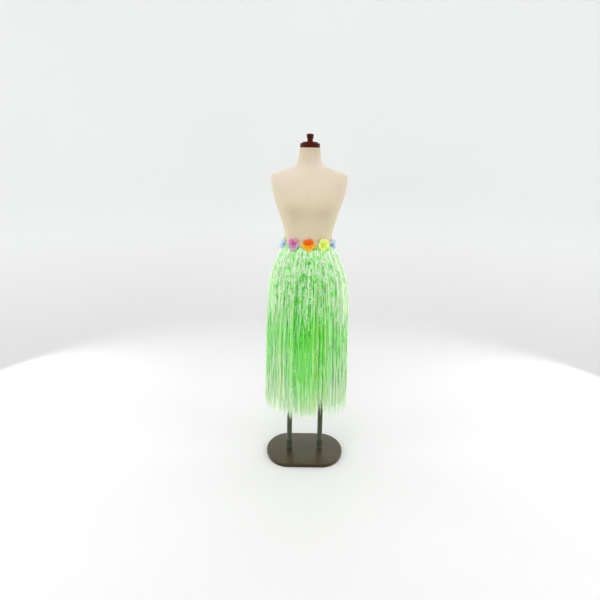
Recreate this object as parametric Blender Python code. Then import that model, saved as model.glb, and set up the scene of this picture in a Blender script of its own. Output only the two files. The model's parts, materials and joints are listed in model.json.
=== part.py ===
"""A long grass skirt with a flowered waistband, worn on a limbless dress form with a two-post stand.

Sizes are in metres. +Z is up, the front faces -Y, and the origin is under the middle of the base plate.
"""

import math
import random
from collections import namedtuple

import bmesh
import bpy
from mathutils import Matrix, Vector

# Gap kept wherever two pieces meet
SEAM_GAP = 0.0003

# Stand
PLATE_WIDTH = 0.376
PLATE_DEPTH = 0.298
PLATE_STRAIGHT = 0.157
PLATE_THICKNESS = 0.016
PLATE_EDGE_ROUND = 0.003
PLATE_END_POINTS = 13
POST_SPACING = 0.152
POST_Y = 0.007
POST_RADIUS = 0.0125
SOCKET_RADIUS = 0.0145
SOCKET_HEIGHT = 0.045
SOCKET_CHAMFER = 0.0015
POST_SIDES = 16

# Dress form: each row is one level of its smooth cover
Section = namedtuple("Section", "height half_width half_depth centre_y squareness")
FORM = (
    Section(0.6300, 0.1520, 0.0970, 0.000, 2.2),
    Section(0.6400, 0.1610, 0.1055, 0.001, 2.2),
    Section(0.6800, 0.1655, 0.1100, 0.002, 2.2),
    Section(0.7600, 0.1670, 0.1125, 0.003, 2.15),
    Section(0.8500, 0.1655, 0.1135, 0.004, 2.1),
    Section(0.9000, 0.1600, 0.1100, 0.004, 2.1),
    Section(0.9500, 0.1465, 0.1030, 0.002, 2.1),
    Section(1.0000, 0.1255, 0.0940, -0.001, 2.1),
    Section(1.0300, 0.1130, 0.0875, -0.003, 2.1),
    Section(1.0500, 0.1084, 0.0852, -0.004, 2.1),
    Section(1.0670, 0.1066, 0.0842, -0.004, 2.1),
    Section(1.0840, 0.1070, 0.0844, -0.005, 2.1),
    Section(1.1100, 0.1097, 0.0858, -0.007, 2.1),
    Section(1.1500, 0.1195, 0.0900, -0.010, 2.15),
    Section(1.1850, 0.1290, 0.0945, -0.013, 2.2),
    Section(1.2150, 0.1390, 0.0985, -0.014, 2.25),
    Section(1.2400, 0.1485, 0.1005, -0.013, 2.3),
    Section(1.2700, 0.1590, 0.1005, -0.011, 2.4),
    Section(1.3050, 0.1670, 0.0970, -0.007, 2.6),
    Section(1.3400, 0.1722, 0.0885, -0.002, 2.8),
    Section(1.3620, 0.1738, 0.0770, 0.002, 2.9),
    Section(1.3735, 0.1728, 0.0695, 0.004, 2.8),
    Section(1.3870, 0.1390, 0.0625, 0.006, 2.5),
    Section(1.3980, 0.1070, 0.0580, 0.007, 2.3),
    Section(1.4070, 0.0780, 0.0545, 0.007, 2.1),
    Section(1.4180, 0.0600, 0.0510, 0.007, 2.0),
    Section(1.4350, 0.0530, 0.0485, 0.005, 2.0),
    Section(1.4600, 0.0488, 0.0468, 0.003, 2.0),
    Section(1.4917, 0.0464, 0.0455, 0.000, 2.0),
)
FORM_POINTS = 40
BUST_HEIGHT = 1.238
BUST_SIDE = 0.074
BUST_SPREAD = 0.044
BUST_FULLNESS = 0.017

# Turned neck cap and knob
CAP_RADIUS = 0.0445
CAP_SIDE_HEIGHT = 0.0200
CAP_DOME_RADIUS = 0.0310
CAP_HEIGHT = 0.0262
KNOB_HEIGHT = 0.0350
TURNED_SIDES = 28
# One row for each ring of the knob, from its foot up
KnobRing = namedtuple("KnobRing", "share_of_height radius")
KNOB = (
    KnobRing(0.00, 0.0130),
    KnobRing(0.12, 0.0120),
    KnobRing(0.35, 0.0128),
    KnobRing(0.60, 0.0150),
    KnobRing(0.80, 0.0163),
    KnobRing(0.94, 0.0142),
    KnobRing(1.00, 0.0090),
)

# Waistband: an elastic tape that follows the waist
BAND_BOTTOM = 1.054
BAND_TOP = 1.078
BAND_MIDDLE = 1.067
BAND_THICKNESS = 0.0012
BAND_FIT = 0.0004

# Fringe: the grass hangs from a narrow strip sewn outside the band's lower edge
STRIP_TOP = 1.057
STRIP_BOTTOM = 1.048
STRIP_THICKNESS = 0.0014
FRINGE_SECTORS = 12
STRANDS_PER_SECTOR = 16
STRAND_FILL = 0.90
STRAND_GAP = 0.0005
STRAND_THICKNESS = 0.0016
# How far behind the outside a strand may hang, and the heights between which the strands part in depth
FRINGE_DEPTH = 0.0065
DEPTH_BIAS = 1.3
DEPTH_STARTS = 1.045
DEPTH_FULL = 0.960
# The hem: its lowest tips at the sides and back, how much higher they end at the front, and their spread
HEM_LOWEST = 0.222
HEM_FRONT_RISE = 0.022
HEM_SPREAD = 0.022
TIP_TAPER = 0.60
TWIST = math.radians(9)
STRAND_SEED = 7
# Heights of the rings of a strand above its tip
STATIONS = (1.0360, 0.9900, 0.9300, 0.8000, 0.5400)
# The outside of the hanging grass
SKIRT = (
    Section(0.2400, 0.1965, 0.1500, 0.000, 2.1),
    Section(0.4400, 0.1972, 0.1505, 0.000, 2.1),
    Section(0.6440, 0.1940, 0.1480, 0.001, 2.1),
    Section(0.7930, 0.1868, 0.1440, 0.002, 2.1),
    Section(0.8900, 0.1775, 0.1390, 0.003, 2.1),
    Section(0.9300, 0.1705, 0.1345, 0.002, 2.1),
    Section(0.9600, 0.1630, 0.1290, 0.001, 2.1),
    Section(0.9900, 0.1510, 0.1200, -0.001, 2.1),
    Section(1.0100, 0.1390, 0.1110, -0.002, 2.1),
    Section(1.0360, 0.1165, 0.0938, -0.004, 2.1),
    Section(1.0480, 0.1124, 0.0892, -0.004, 2.1),
)

# Flowers, spaced evenly round the band with one at the front
FLOWER_COUNT = 9
PETALS = 5
FLOWER_RADIUS = 0.029
# One row for each point of a petal's outline, from the notch before it round to its far shoulder
PetalPoint = namedtuple("PetalPoint", "turn_degrees reach ripple")
PETAL = (
    PetalPoint(-36, 0.60, -1.0),
    PetalPoint(-21, 0.95, 0.3),
    PetalPoint(0, 1.00, 1.0),
    PetalPoint(21, 0.95, 0.3),
)
PETAL_THICKNESS = 0.0010
FLOWER_CUP = 0.0125
# The ring half way up a petal: its shares of the radius, the cup, the petals' outline and the ripple
MIDDLE_RADIUS = 0.55
MIDDLE_CUP = 0.49
MIDDLE_OUTLINE = 0.4
MIDDLE_RIPPLE = -0.4
MIDDLE_THICKENING = 1.3
FLOWER_BOSS_RADIUS = 0.0040
EYE_RADIUS = 0.0030
PISTIL_LENGTH = 0.0075
PISTIL_RADIUS = 0.0016
PETAL_RIPPLE = 0.0016
FLOWER_ROLL = math.radians(10)
FLOWER_SEED = 3
FLOWER_COLOURS = (
    ("orange", (0.93, 0.33, 0.03)),
    ("yellow", (0.82, 0.86, 0.12)),
    ("blue", (0.42, 0.66, 0.80)),
    ("purple", (0.64, 0.20, 0.47)),
)


def clear_scene():
    for obj in list(bpy.data.objects):
        bpy.data.objects.remove(obj)


def material(name, colour, roughness, metallic=0.0):
    """A plain Principled finish, made once for each name."""
    made = bpy.data.materials.get(name)
    if made is None:
        made = bpy.data.materials.new(name)
        made.use_nodes = True
        shader = made.node_tree.nodes["Principled BSDF"]
        shader.inputs["Base Color"].default_value = (*colour, 1.0)
        shader.inputs["Roughness"].default_value = roughness
        shader.inputs["Metallic"].default_value = metallic
    return made


def add_object(name, shape, finish, smooth_angle=math.radians(40)):
    """Turns a bmesh into a named object with its faces pointing outwards."""
    bmesh.ops.recalc_face_normals(shape, faces=shape.faces)
    mesh = bpy.data.meshes.new(name)
    shape.to_mesh(mesh)
    shape.free()
    mesh.materials.append(finish)
    mesh.shade_smooth()
    mesh.set_sharp_from_angle(angle=smooth_angle)
    obj = bpy.data.objects.new(name, mesh)
    bpy.context.scene.collection.objects.link(obj)
    return obj


def extruded(shape, face, points):
    """Extrudes one face, puts its new end at the points and returns it. A lone face stays as a cap."""
    if face.edges[0].is_boundary:
        made = bmesh.ops.extrude_face_region(shape, geom=[face])["geom"]
        end = next(item for item in made if isinstance(item, bmesh.types.BMFace))
    else:
        end = bmesh.ops.extrude_discrete_faces(shape, faces=[face])["faces"][0]
    for vert, point in zip(end.verts, points):
        vert.co = point
    return end


def loft(rings):
    """A closed shape through rings of points, extruded from each ring to the next."""
    shape = bmesh.new()
    face = shape.faces.new([shape.verts.new(point) for point in rings[0]])
    for ring in rings[1:]:
        face = extruded(shape, face, ring)
    return shape


def turned(profile, centre, sides=TURNED_SIDES):
    """A shape of (radius, height) rings about a vertical axis."""
    angles = [math.tau * i / sides for i in range(sides)]
    rings = [
        [centre + Vector((radius * math.sin(a), -radius * math.cos(a), height)) for a in angles]
        for radius, height in profile
    ]
    return loft(rings)


def section_at(table, height):
    """The section of a table at a height, measured straight between its rows."""
    rows = sorted(table)
    height = min(max(height, rows[0].height), rows[-1].height)
    for low, high in zip(rows, rows[1:]):
        if height <= high.height:
            share = (height - low.height) / (high.height - low.height)
            return Section(*(a + (b - a) * share for a, b in zip(low, high)))


def ring_point(section, angle, out=0.0):
    """A point of a section's outline, moved out square to it. Angle 0 is the front, and 90 degrees is +X."""
    power = 2 / section.squareness
    side, front = math.sin(angle), math.cos(angle)
    x = section.half_width * math.copysign(abs(side) ** power, side)
    y = -section.half_depth * math.copysign(abs(front) ** power, front)
    steep = section.squareness - 1
    normal = Vector(
        (
            math.copysign((abs(x) / section.half_width) ** steep, x) / section.half_width,
            math.copysign((abs(y) / section.half_depth) ** steep, y) / section.half_depth,
            0.0,
        )
    ).normalized()
    return Vector((x, section.centre_y + y, section.height)) + out * normal


def outward(section, angle):
    return ring_point(section, angle, 1.0) - ring_point(section, angle)


def even_angles(section, count, start=0.0):
    """Angles that divide a section's outline into equal lengths, from the start angle round."""
    steps = 1440
    points = [ring_point(section, start + math.tau * i / steps) for i in range(steps + 1)]
    lengths = [0.0]
    for before, after in zip(points, points[1:]):
        lengths.append(lengths[-1] + (after - before).length)
    angles, step = [], 0
    for k in range(count):
        wanted = lengths[-1] * k / count
        while lengths[step + 1] < wanted:
            step += 1
        share = (wanted - lengths[step]) / (lengths[step + 1] - lengths[step])
        angles.append(start + math.tau * (step + share) / steps)
    return angles


def plate_outline():
    """The base plate's outline: straight front and back edges joined by half ellipses."""
    end_reach = (PLATE_WIDTH - PLATE_STRAIGHT) / 2
    points = []
    for side in (1, -1):
        for i in range(PLATE_END_POINTS):
            a = math.pi * (i / (PLATE_END_POINTS - 1) - 0.5)
            x = side * (PLATE_STRAIGHT / 2 + end_reach * math.cos(a))
            points.append(Vector((x, side * PLATE_DEPTH / 2 * math.sin(a), 0.0)))
    return points


def base_plate(finish):
    outline = plate_outline()
    top = [point + Vector((0, 0, PLATE_THICKNESS)) for point in outline]
    shape = loft([outline, top])
    rim = [e for e in shape.edges if all(v.co.z > PLATE_THICKNESS / 2 for v in e.verts)]
    bmesh.ops.bevel(shape, geom=rim, offset=PLATE_EDGE_ROUND, segments=2, profile=0.5, affect="EDGES")
    add_object("base_plate", shape, finish)


def post(name, x, finish):
    """A round post with the wider socket that fixes it to the plate."""
    foot = PLATE_THICKNESS + SEAM_GAP
    top = FORM[0].height - SEAM_GAP
    profile = (
        (SOCKET_RADIUS, foot),
        (SOCKET_RADIUS, foot + SOCKET_HEIGHT),
        (POST_RADIUS, foot + SOCKET_HEIGHT + SOCKET_CHAMFER),
        (POST_RADIUS, top),
    )
    add_object(name, turned(profile, Vector((x, POST_Y, 0)), POST_SIDES), finish)


def bust_reach(point):
    """How far the form's front stands forward at a point of its plain outline."""
    if point.y > 0:
        return 0.0
    off_side = (abs(point.x) - BUST_SIDE) / BUST_SPREAD
    off_height = (point.z - BUST_HEIGHT) / BUST_SPREAD
    return BUST_FULLNESS * math.exp(-(off_side**2) - off_height**2)


def dress_form(finish):
    angles = [math.tau * i / FORM_POINTS for i in range(FORM_POINTS)]
    rings = []
    for section in FORM:
        plain = [ring_point(section, a) for a in angles]
        rings.append([point - Vector((0, bust_reach(point), 0)) for point in plain])
    add_object("dress_form", loft(rings), finish)


def neck_cap(finish):
    foot = FORM[-1].height + SEAM_GAP
    centre = Vector((0, FORM[-1].centre_y, foot))
    profile = (
        (CAP_RADIUS, 0.0),
        (CAP_RADIUS, CAP_SIDE_HEIGHT),
        (CAP_RADIUS - SOCKET_CHAMFER, CAP_SIDE_HEIGHT + SOCKET_CHAMFER),
        (CAP_DOME_RADIUS, CAP_HEIGHT),
    )
    add_object("neck_cap", turned(profile, centre), finish, math.radians(30))
    knob_foot = centre + Vector((0, 0, CAP_HEIGHT + SEAM_GAP))
    knob = [(ring.radius, ring.share_of_height * KNOB_HEIGHT) for ring in KNOB]
    add_object("neck_knob", turned(knob, knob_foot), finish)


def waistband(finish):
    """The tape's wall: up its inside, over the top and down its outside, from the form's outline."""
    inner, outer = BAND_FIT, BAND_FIT + BAND_THICKNESS
    shape = bmesh.new()
    angles = [math.tau * i / FORM_POINTS for i in range(FORM_POINTS)]
    levels = (
        (BAND_BOTTOM, inner),
        (BAND_MIDDLE, inner),
        (BAND_TOP, inner),
        (BAND_TOP, outer),
        (BAND_MIDDLE, outer),
        (BAND_BOTTOM, outer),
    )
    rings = []
    for height, out in levels:
        section = section_at(FORM, height)
        rings.append([shape.verts.new(ring_point(section, a, out)) for a in angles])
    for lower, upper in zip(rings, rings[1:] + rings[:1]):
        for i in range(FORM_POINTS):
            shape.faces.new((lower[i - 1], lower[i], upper[i], upper[i - 1]))
    add_object("waistband", shape, finish)


def strip_edges(angle):
    """The backing strip's four corners at an angle: outer bottom, outer top, inner top, inner bottom."""
    inner = BAND_FIT + BAND_THICKNESS + SEAM_GAP
    outer = inner + STRIP_THICKNESS
    bottom, top = section_at(FORM, STRIP_BOTTOM), section_at(FORM, STRIP_TOP)
    return [
        ring_point(bottom, angle, outer),
        ring_point(top, angle, outer),
        ring_point(top, angle, inner),
        ring_point(bottom, angle, inner),
    ]


def strand_root(bottom_face):
    """Splits one lane of the strip's underside and returns the triangle that its strand grows from."""
    outer_left, outer_right, inner_right, inner_left = sorted_corners(bottom_face)
    inner_edge = next(e for e in bottom_face.edges if inner_right in e.verts and inner_left in e.verts)
    middle = bmesh.utils.edge_split(inner_edge, inner_right, 0.5)[1]
    for corner in (outer_left, outer_right):
        face = next(f for f in middle.link_faces if corner in f.verts and outer_left in f.verts)
        bmesh.utils.face_split(face, corner, middle)
    corners = (outer_left, outer_right, middle)
    root = next(f for f in middle.link_faces if set(f.verts) == set(corners))
    return root, corners


def sorted_corners(face):
    """A lane's corners in the order outer left, outer right, inner right, inner left, seen from outside."""
    centre = face.calc_center_median()
    away = Vector((centre.x, centre.y, 0)).normalized()
    across = Vector((-away.y, away.x, 0))
    out = sorted(face.verts, key=lambda v: (v.co - centre).dot(away))
    inner = sorted(out[:2], key=lambda v: (v.co - centre).dot(across))
    outer = sorted(out[2:], key=lambda v: (v.co - centre).dot(across))
    return outer[0], outer[1], inner[1], inner[0]


def strand_rings(left, right, chance):
    """The triangles of one strand between two lane angles, from below its root down to its tip."""
    depth = FRINGE_DEPTH * chance.random() ** DEPTH_BIAS
    front = max(math.cos((left + right) / 2), 0.0) ** 2
    tip = HEM_LOWEST + HEM_FRONT_RISE * front + HEM_SPREAD * abs(chance.gauss(0, 1))
    turn, turn_rate = chance.uniform(-TWIST, TWIST), chance.uniform(-TWIST, TWIST)
    rings = []
    for number, height in enumerate((*STATIONS, tip)):
        section = section_at(SKIRT, height)
        share = min(max((DEPTH_STARTS - height) / (DEPTH_STARTS - DEPTH_FULL), 0.0), 1.0)
        edge_left = ring_point(section, left, -depth * share)
        edge_right = ring_point(section, right, -depth * share)
        lane = edge_right - edge_left
        width = STRAND_FILL * (lane.length - STRAND_GAP)
        if height == tip:
            width *= TIP_TAPER
        room = (lane.length - STRAND_GAP - width) / 2
        along = lane.normalized()
        away = outward(section, (left + right) / 2)
        middle = (edge_left + edge_right) / 2 + along * chance.uniform(-room, room)
        middle -= away * STRAND_THICKNESS / 2
        swing = (turn + turn_rate * number) * share
        spin = Matrix.Rotation(swing, 3, "Z")
        corners = (
            along * -width / 2 + away * STRAND_THICKNESS / 2,
            along * width / 2 + away * STRAND_THICKNESS / 2,
            away * -STRAND_THICKNESS / 2,
        )
        rings.append([middle + spin @ corner for corner in corners])
    return rings


def fringe_sector(name, boundaries, chance, finish):
    """One stretch of backing strip with its strands, as a single solid."""
    shape = bmesh.new()
    face = shape.faces.new([shape.verts.new(point) for point in strip_edges(boundaries[0])])
    lanes = []
    for angle in boundaries[1:]:
        face = extruded(shape, face, strip_edges(angle))
        lower = (face.verts[0], face.verts[3])
        lane_edge = next(e for e in face.edges if e.verts[0] in lower and e.verts[1] in lower)
        lanes.append(next(f for f in lane_edge.link_faces if f is not face))
    roots = []
    for lane in lanes:
        root, corners = strand_root(lane)
        order = [corners.index(vert) for vert in root.verts]
        roots.append((root, order))
    for (root, order), left, right in zip(roots, boundaries, boundaries[1:]):
        for ring in strand_rings(left, right, chance):
            root = extruded(shape, root, [ring[corner] for corner in order])
    add_object(name, shape, finish)


def fringe(finish):
    chance = random.Random(STRAND_SEED)
    strands = FRINGE_SECTORS * STRANDS_PER_SECTOR
    strip = section_at(FORM, STRIP_BOTTOM)
    angles = even_angles(strip, strands)
    angles.append(angles[0] + math.tau)
    parting = SEAM_GAP / strip.half_depth
    for sector in range(FRINGE_SECTORS):
        first = sector * STRANDS_PER_SECTOR
        boundaries = angles[first : first + STRANDS_PER_SECTOR + 1]
        boundaries[0] += parting
        boundaries[-1] -= parting
        fringe_sector(f"fringe_{sector + 1:02d}", boundaries, chance, finish)


def flower_rings():
    """Rings of a cupped flower facing +Z, its first petal along +Y: boss, back, rim, front and pistil."""
    outline = []
    for petal in range(PETALS):
        for point in PETAL:
            turn = math.tau * petal / PETALS + math.radians(point.turn_degrees)
            outline.append((Vector((math.sin(turn), math.cos(turn), 0)), point.reach, point.ripple))

    def ring(radius, depth, follow, ripple=0.0):
        points = []
        for aim, reach, wave in outline:
            points.append(aim * radius * (1 + follow * (reach - 1)) + Vector((0, 0, depth + ripple * wave)))
        return points

    middle_radius, middle_depth = FLOWER_RADIUS * MIDDLE_RADIUS, FLOWER_CUP * MIDDLE_CUP
    middle_wave = PETAL_RIPPLE * MIDDLE_RIPPLE
    wall = PETAL_THICKNESS
    return [
        ring(FLOWER_BOSS_RADIUS, 0.0, 0.0),
        ring(middle_radius, middle_depth, MIDDLE_OUTLINE, middle_wave),
        ring(FLOWER_RADIUS, FLOWER_CUP, 1.0, PETAL_RIPPLE),
        ring(FLOWER_RADIUS - wall, FLOWER_CUP + wall, 1.0, PETAL_RIPPLE),
        ring(middle_radius - wall, middle_depth + MIDDLE_THICKENING * wall, MIDDLE_OUTLINE, middle_wave),
        ring(EYE_RADIUS, wall, 0.0),
        ring(PISTIL_RADIUS, PISTIL_LENGTH, 0.0),
    ]


def flowers():
    section = section_at(FORM, BAND_MIDDLE)
    out = BAND_FIT + BAND_THICKNESS + SEAM_GAP
    chance = random.Random(FLOWER_SEED)
    angles = even_angles(section, FLOWER_COUNT)
    for number, angle in enumerate(angles):
        # The colours run to both sides of the front flower, so they meet between two at the back
        step = number if number <= FLOWER_COUNT // 2 else number - FLOWER_COUNT
        colour_name, colour = FLOWER_COLOURS[step % len(FLOWER_COLOURS)]
        away = outward(section, angle)
        across = Vector((0, 0, 1)).cross(away)
        facing = Matrix((across, Vector((0, 0, 1)), away)).transposed()
        roll = Matrix.Rotation(math.pi + chance.uniform(-FLOWER_ROLL, FLOWER_ROLL), 3, "Z")
        seat = ring_point(section, angle, out)
        shape = loft(flower_rings())
        bmesh.ops.transform(shape, verts=shape.verts, matrix=(facing @ roll).to_4x4())
        bmesh.ops.translate(shape, verts=shape.verts, vec=seat)
        finish = material(f"{colour_name}_petals", colour, 0.55)
        add_object(f"flower_{number + 1}", shape, finish)


def main():
    clear_scene()
    steel = material("bronze_steel", (0.10, 0.095, 0.07), 0.3, 0.6)
    base_plate(steel)
    post("post_left", -POST_SPACING / 2, steel)
    post("post_right", POST_SPACING / 2, steel)
    dress_form(material("linen", (0.70, 0.62, 0.46), 0.85))
    neck_cap(material("dark_wood", (0.07, 0.015, 0.008), 0.3))
    waistband(material("tape", (0.62, 0.58, 0.42), 0.8))
    fringe(material("green_grass", (0.25, 0.62, 0.20), 0.35))
    flowers()


main()
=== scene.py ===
"""The looks of a long grass skirt with a flowered band, on a limbless dress form with a two-post stand."""

import json
import math
import random
from collections import namedtuple

import bmesh
import bpy
from bpy.props import FloatProperty, FloatVectorProperty, IntProperty, PointerProperty
from mathutils import Matrix, Vector

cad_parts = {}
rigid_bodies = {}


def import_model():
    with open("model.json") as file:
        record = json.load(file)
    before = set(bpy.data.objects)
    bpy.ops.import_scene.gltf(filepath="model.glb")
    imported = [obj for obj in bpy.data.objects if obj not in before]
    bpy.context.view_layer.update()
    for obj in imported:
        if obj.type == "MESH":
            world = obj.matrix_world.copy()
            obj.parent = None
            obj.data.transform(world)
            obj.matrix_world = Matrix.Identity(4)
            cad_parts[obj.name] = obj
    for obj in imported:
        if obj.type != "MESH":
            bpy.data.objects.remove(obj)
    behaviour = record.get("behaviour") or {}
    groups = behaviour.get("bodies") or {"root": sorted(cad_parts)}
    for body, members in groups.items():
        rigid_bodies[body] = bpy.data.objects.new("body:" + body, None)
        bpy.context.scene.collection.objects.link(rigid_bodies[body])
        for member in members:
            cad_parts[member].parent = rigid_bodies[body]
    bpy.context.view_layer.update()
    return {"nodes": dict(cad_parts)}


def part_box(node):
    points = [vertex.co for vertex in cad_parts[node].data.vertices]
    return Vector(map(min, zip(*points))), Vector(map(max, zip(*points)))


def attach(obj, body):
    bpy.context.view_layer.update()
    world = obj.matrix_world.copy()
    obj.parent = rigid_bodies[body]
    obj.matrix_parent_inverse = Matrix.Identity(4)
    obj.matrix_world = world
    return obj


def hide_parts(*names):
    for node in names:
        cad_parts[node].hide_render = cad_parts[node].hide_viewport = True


bl_info = {
    "name": "Grass Skirt on a Dress Form",
    "version": (1, 0, 0),
    "blender": (4, 5, 0),
    "location": "View3D > Sidebar > Grass Skirt",
    "description": "Models a long grass skirt with a flowered band on a stand, in the frame of its solids",
    "category": "Object",
}

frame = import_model()
BODY = "root"

# One row is one level of a rounded outline
Section = namedtuple("Section", "height half_width half_depth centre_y squareness")
# The form where the skirt covers it, from the hips up to the waist
FORM = (
    Section(0.7200, 0.1663, 0.1113, 0.002, 2.15),
    Section(0.7600, 0.1670, 0.1125, 0.003, 2.15),
    Section(0.8500, 0.1655, 0.1135, 0.004, 2.1),
    Section(0.9000, 0.1600, 0.1100, 0.004, 2.1),
    Section(0.9500, 0.1465, 0.1030, 0.002, 2.1),
    Section(1.0000, 0.1255, 0.0940, -0.001, 2.1),
    Section(1.0300, 0.1130, 0.0875, -0.003, 2.1),
    Section(1.0500, 0.1084, 0.0852, -0.004, 2.1),
    Section(1.0670, 0.1066, 0.0842, -0.004, 2.1),
    Section(1.0840, 0.1070, 0.0844, -0.005, 2.1),
)
# The outside of the hanging grass
SKIRT = (
    Section(0.2400, 0.1985, 0.1500, 0.000, 2.1),
    Section(0.4400, 0.1985, 0.1505, 0.000, 2.1),
    Section(0.6440, 0.1940, 0.1480, 0.001, 2.1),
    Section(0.7930, 0.1850, 0.1430, 0.002, 2.1),
    Section(0.8900, 0.1712, 0.1365, 0.003, 2.1),
    Section(0.9300, 0.1615, 0.1310, 0.002, 2.1),
    Section(0.9600, 0.1505, 0.1230, 0.001, 2.1),
    Section(0.9900, 0.1375, 0.1135, -0.001, 2.1),
    Section(1.0100, 0.1285, 0.1055, -0.002, 2.1),
    Section(1.0360, 0.1168, 0.0942, -0.004, 2.1),
    Section(1.0480, 0.1146, 0.0914, -0.004, 2.1),
    Section(1.0600, 0.1128, 0.0898, -0.004, 2.1),
)
SECTORS = 12
FLOWERS = 9

# Waistband, from the inside out
BAND_BOTTOM, BAND_MIDDLE, BAND_TOP = 1.054, 1.067, 1.078
BAND_FIT = 0.0004
BAND_THICKNESS = 0.0012
SEAM_GAP = 0.0003
TAPE_BOTTOM, TAPE_TOP = 1.048, 1.057
TAPE_THICKNESS = 0.0014

# Camera, worked out from the photograph's perspective
CAMERA_DISTANCE = 2.4215
CAMERA_SIDE = -0.0357
CAMERA_HEIGHT = 1.439
CAMERA_PITCH = math.radians(12.15)
CAMERA_ROLL = math.radians(0.92)
CAMERA_LENS = 31.57
CAMERA_SHIFT = -0.045

# The hanging grass
FORM_CLEARANCE = 0.004
ROOT_LOWEST, ROOT_HIGHEST = 1.046, 1.059
STRAND_STATIONS = 32
# The skirt hangs a little to one side of the form, and its longest strands to the other
SIDE_DRIFT = 0.003
LONGEST_ASIDE = 0.14
# Where the front strands part and show the right post
PARTING_ANGLE, PARTING_RISE = 0.318, 0.085

# The flowers at the sides lean towards the front and hang lower
FACE_FRONT = math.radians(20)
SIDE_DROP = 0.010
PETAL_WIDEST = 0.62
# Each kind of flower, and the colours of its middle, lower petals and upper petals
FLOWER_COLOURS = {
    "orange": ((0.93, 0.38, 0.008), (0.98, 0.54, 0.008), (0.98, 0.15, 0.002)),
    "yellow": ((0.86, 0.94, 0.09), (0.87, 0.98, 0.20), (0.89, 0.98, 0.28)),
    "blue": ((0.30, 0.49, 0.62), (0.52, 0.71, 0.85), (0.61, 0.78, 0.90)),
    "purple": ((0.71, 0.12, 0.41), (0.72, 0.44, 0.65), (0.86, 0.27, 0.60)),
}
FLOWER_PARTS = {"heart": "Middle", "petal": "Lower petals", "rim": "Upper petals"}

# The form and its stand
SHOULDER_EDGE = 1.3735
# Where the painted shade below the bust is darkest
BUST_SHADE = (0.066, -0.10, 1.225)
PIPING_RADIUS, PIPING_THICKNESS = 0.0462, 0.0013
CAP_STEP_RADIUS = 0.0340
KNOB_NECK_RADIUS = 0.0120
KNOB_NECK_TOP, KNOB_WIDEST_HEIGHT = 0.0045, 0.0270
PLATE_STRAIGHT = 0.157
POST_RADIUS = 0.0125
SOCKET_HEIGHT = 0.045
BACKDROP_SWEEP = 1.1


def length_setting(name, description, default):
    return FloatProperty(
        name=name, description=description, default=default, subtype="DISTANCE", unit="LENGTH"
    )


def colour_setting(name, description, default):
    return FloatVectorProperty(
        name=name, description=description, default=default, size=3, min=0.0, max=1.0, subtype="COLOR"
    )


def count_setting(name, description, default):
    return IntProperty(name=name, description=description, default=default, min=1)


class GrassSettings(bpy.types.PropertyGroup):
    locks: count_setting("Locks", "Locks in each of the twelve sectors", 12)
    tufts: count_setting("Tufts", "Tufts in each of the twelve sectors", 62)
    strands: count_setting("Strands", "Strands in a tuft", 4)
    curls: count_setting("Curls", "Curled strands over the hips", 620)
    width: length_setting("Width", "Width of a flattened strand", 0.0016)
    thickness: length_setting("Thickness", "Thickness of a strand", 0.0003)
    hem: length_setting("Hem", "Height of the lowest tips", 0.212)
    front_rise: length_setting("Front Rise", "How much higher the front strands end", 0.022)
    ragged: length_setting("Ragged Hem", "Height over which the tips are spread at the sides", 0.135)
    shade: colour_setting("Shade Green", "Gaps between the strands", (0.05, 0.60, 0.015))
    deep: colour_setting("Deep Green", "Strands in the shade of others", (0.10, 0.88, 0.02))
    fresh: colour_setting("Fresh Green", "Most of the strands", (0.29, 0.97, 0.14))
    pale: colour_setting("Pale Green", "Strands that catch the light", (0.88, 0.99, 0.80))
    yellow: colour_setting("Yellow Green", "Warmer strands", (0.88, 0.97, 0.48))
    mint: colour_setting("Mint Green", "Cooler strands", (0.42, 0.97, 0.60))
    # Glint is the colour of the painted highlights where the film is kinked
    glint: colour_setting("Glint", "Kinks in the film", (0.97, 0.995, 0.95))


class FormSettings(bpy.types.PropertyGroup):
    linen: colour_setting("Linen", "Cover of the form", (0.616, 0.526, 0.375))
    # Linen Shade is the colour of darker threads, and also of the painted shade at the neck and below the
    # bust
    shade: colour_setting("Linen Shade", "Darker threads of the cover", (0.506, 0.436, 0.300))
    bleached: colour_setting("Bleached Linen", "Cover over the chest, less yellow", (0.614, 0.530, 0.472))
    thread: length_setting("Thread", "Distance between two threads", 0.0008)
    wood: colour_setting("Wood", "Turned cap", (0.085, 0.010, 0.003))
    grain: colour_setting("Grain", "Dark grain of the cap", (0.022, 0.003, 0.001))
    piping: colour_setting("Piping", "Trim under the cap", (0.80, 0.75, 0.60))


class BandSettings(bpy.types.PropertyGroup):
    tape: colour_setting("Tape", "Elastic tape", (0.97, 0.84, 0.47))
    rib: length_setting("Rib", "How far the tape's gathers stand out", 0.0003)
    ribs: count_setting("Ribs", "Gathers round the tape", 170)
    stitches: count_setting("Stitches", "Stitches round the tape", 118)


class FlowerSettings(bpy.types.PropertyGroup):
    radius: length_setting("Radius", "Reach of the large petals", 0.0310)
    inner_radius: length_setting("Inner Radius", "Reach of the small petals", 0.0125)
    cup: length_setting("Cup", "How far the rim stands off the band", 0.0120)


for kind, colours in FLOWER_COLOURS.items():
    for (part, words), colour in zip(FLOWER_PARTS.items(), colours):
        setting = colour_setting(f"{kind} {part}".title(), f"{words} of the {kind} flowers", colour)
        FlowerSettings.__annotations__[f"{kind}_{part}"] = setting


class StandSettings(bpy.types.PropertyGroup):
    paint: colour_setting("Paint", "Bronze-brown paint", (0.045, 0.037, 0.016))
    worn: colour_setting("Worn Paint", "Lighter patches of the paint", (0.063, 0.052, 0.027))
    # The posts' paint is greener than the plate's: partly the stand's paint, and partly a painted reflection
    # of the green skirt
    post: colour_setting("Post Paint", "Greener paint of the posts", (0.066, 0.080, 0.048))
    worn_post: colour_setting("Worn Post Paint", "Its lighter patches", (0.090, 0.108, 0.070))


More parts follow.
